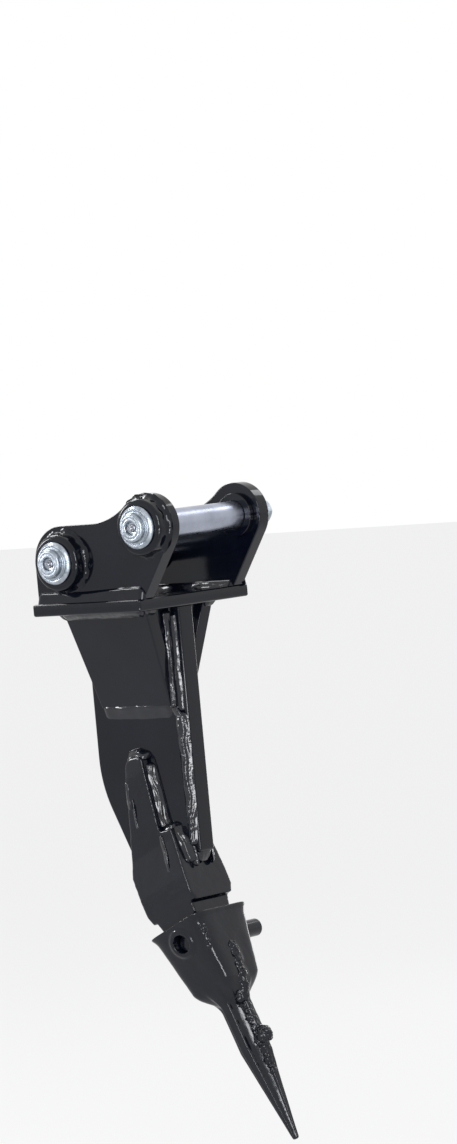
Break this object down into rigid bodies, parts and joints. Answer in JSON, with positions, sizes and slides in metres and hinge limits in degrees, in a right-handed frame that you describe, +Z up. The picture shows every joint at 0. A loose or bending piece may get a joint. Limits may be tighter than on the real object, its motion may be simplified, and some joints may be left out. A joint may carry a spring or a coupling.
{
  "type": "single-shank ripper",
  "caption": "Single-shank ripper for a small excavator: ears with hitch pins, a stiffened shank and a pinned cast tooth that breaks up hard ground.",
  "frame": {"origin": "front hitch pin's axis at mid-width between the ears", "axes": "+X forward, the way the tooth points; +Y along the hitch pins to the far ear; +Z up, from the tooth to the ears"},
  "size_m": [0.2215, 0.222, 0.6888],
  "materials": {
    "gloss_black_paint": "gloss black enamel over plate steel",
    "painted_cast_steel": "gloss black enamel over rough cast steel",
    "painted_weld": "gloss black enamel over weld beads",
    "zinc_plate": "bright zinc plate, turned",
    "bright_steel": "ground steel",
    "dark_steel": "blackened steel"
  },
  "bodies": {
    "root": {"near_ear_plate": "gloss_black_paint", "far_ear_plate": "gloss_black_paint", "base_plate": "gloss_black_paint", "shank_blade": "gloss_black_paint", "near_cheek_plate": "gloss_black_paint", "far_cheek_plate": "gloss_black_paint", "throat_plates": "gloss_black_paint", "front_wear_bar": "gloss_black_paint", "front_near_boss": "gloss_black_paint", "rear_near_boss": "gloss_black_paint", "front_far_collar": "gloss_black_paint", "rear_far_collar": "gloss_black_paint", "front_bay_rings": "gloss_black_paint", "rear_bay_rings": "gloss_black_paint", "nose_adapter": "painted_cast_steel", "ripper_tooth": "painted_cast_steel", "tooth_pin": "painted_cast_steel", "near_ear_welds": "painted_weld", "far_ear_welds": "painted_weld", "cheek_top_welds": "painted_weld", "cheek_foot_welds": "painted_weld", "wear_bar_welds": "painted_weld", "strap_welds": "painted_weld", "front_near_cap": "zinc_plate", "rear_near_cap": "zinc_plate", "grease_nipples": "zinc_plate", "pin_washers": "zinc_plate", "pin_bolts": "zinc_plate", "front_hitch_pin": "bright_steel", "rear_hitch_pin": "bright_steel", "tooth_pin_keeper": "bright_steel", "boss_lock_screws": "dark_steel"}
  },
  "joints": []
}
